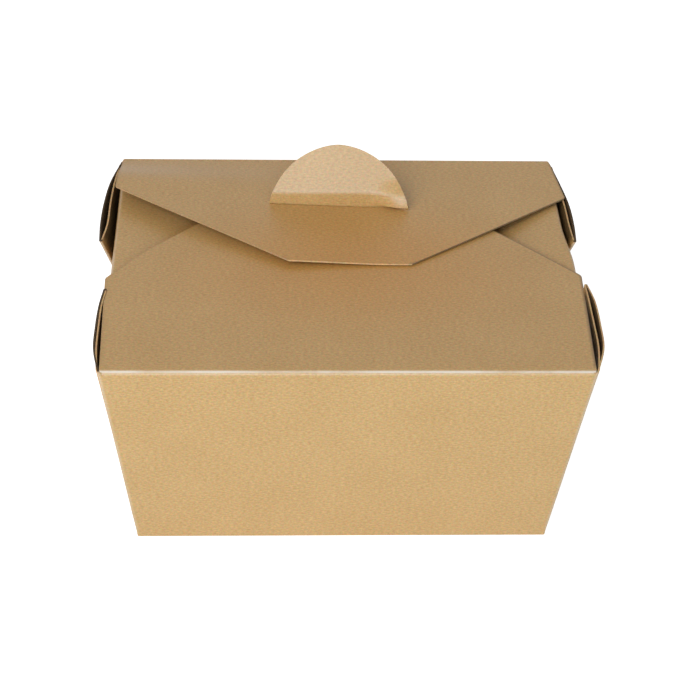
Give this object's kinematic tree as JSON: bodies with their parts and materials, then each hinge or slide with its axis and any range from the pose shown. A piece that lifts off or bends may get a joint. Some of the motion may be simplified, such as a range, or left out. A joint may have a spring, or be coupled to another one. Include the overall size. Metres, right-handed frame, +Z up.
{
  "type": "folded kraft board lunch box",
  "caption": "Take-away box folded from one sheet of kraft board, with flared walls, webbed corners and a lid flap locked by a half-moon tab.",
  "frame": {"origin": "middle of the base, on the surface that the box stands on", "axes": "+X to the right along the front wall, +Y from the front wall to the back wall, +Z up"},
  "size_m": [0.138, 0.1048, 0.0815],
  "materials": {
    "kraft_board": "unprinted brown kraft food board with a faint satin coating"
  },
  "bodies": {
    "root": {"carton": "kraft_board"},
    "back_flap": {"back_flap": "kraft_board"}
  },
  "joints": [
    {"name": "back_flap_hinge", "type": "hinge", "parent": "root", "child": "back_flap", "pos_m": [0, 0.05216, 0.0642], "axis": [-1, 0, 0], "range_deg": [0, 225]}
  ]
}
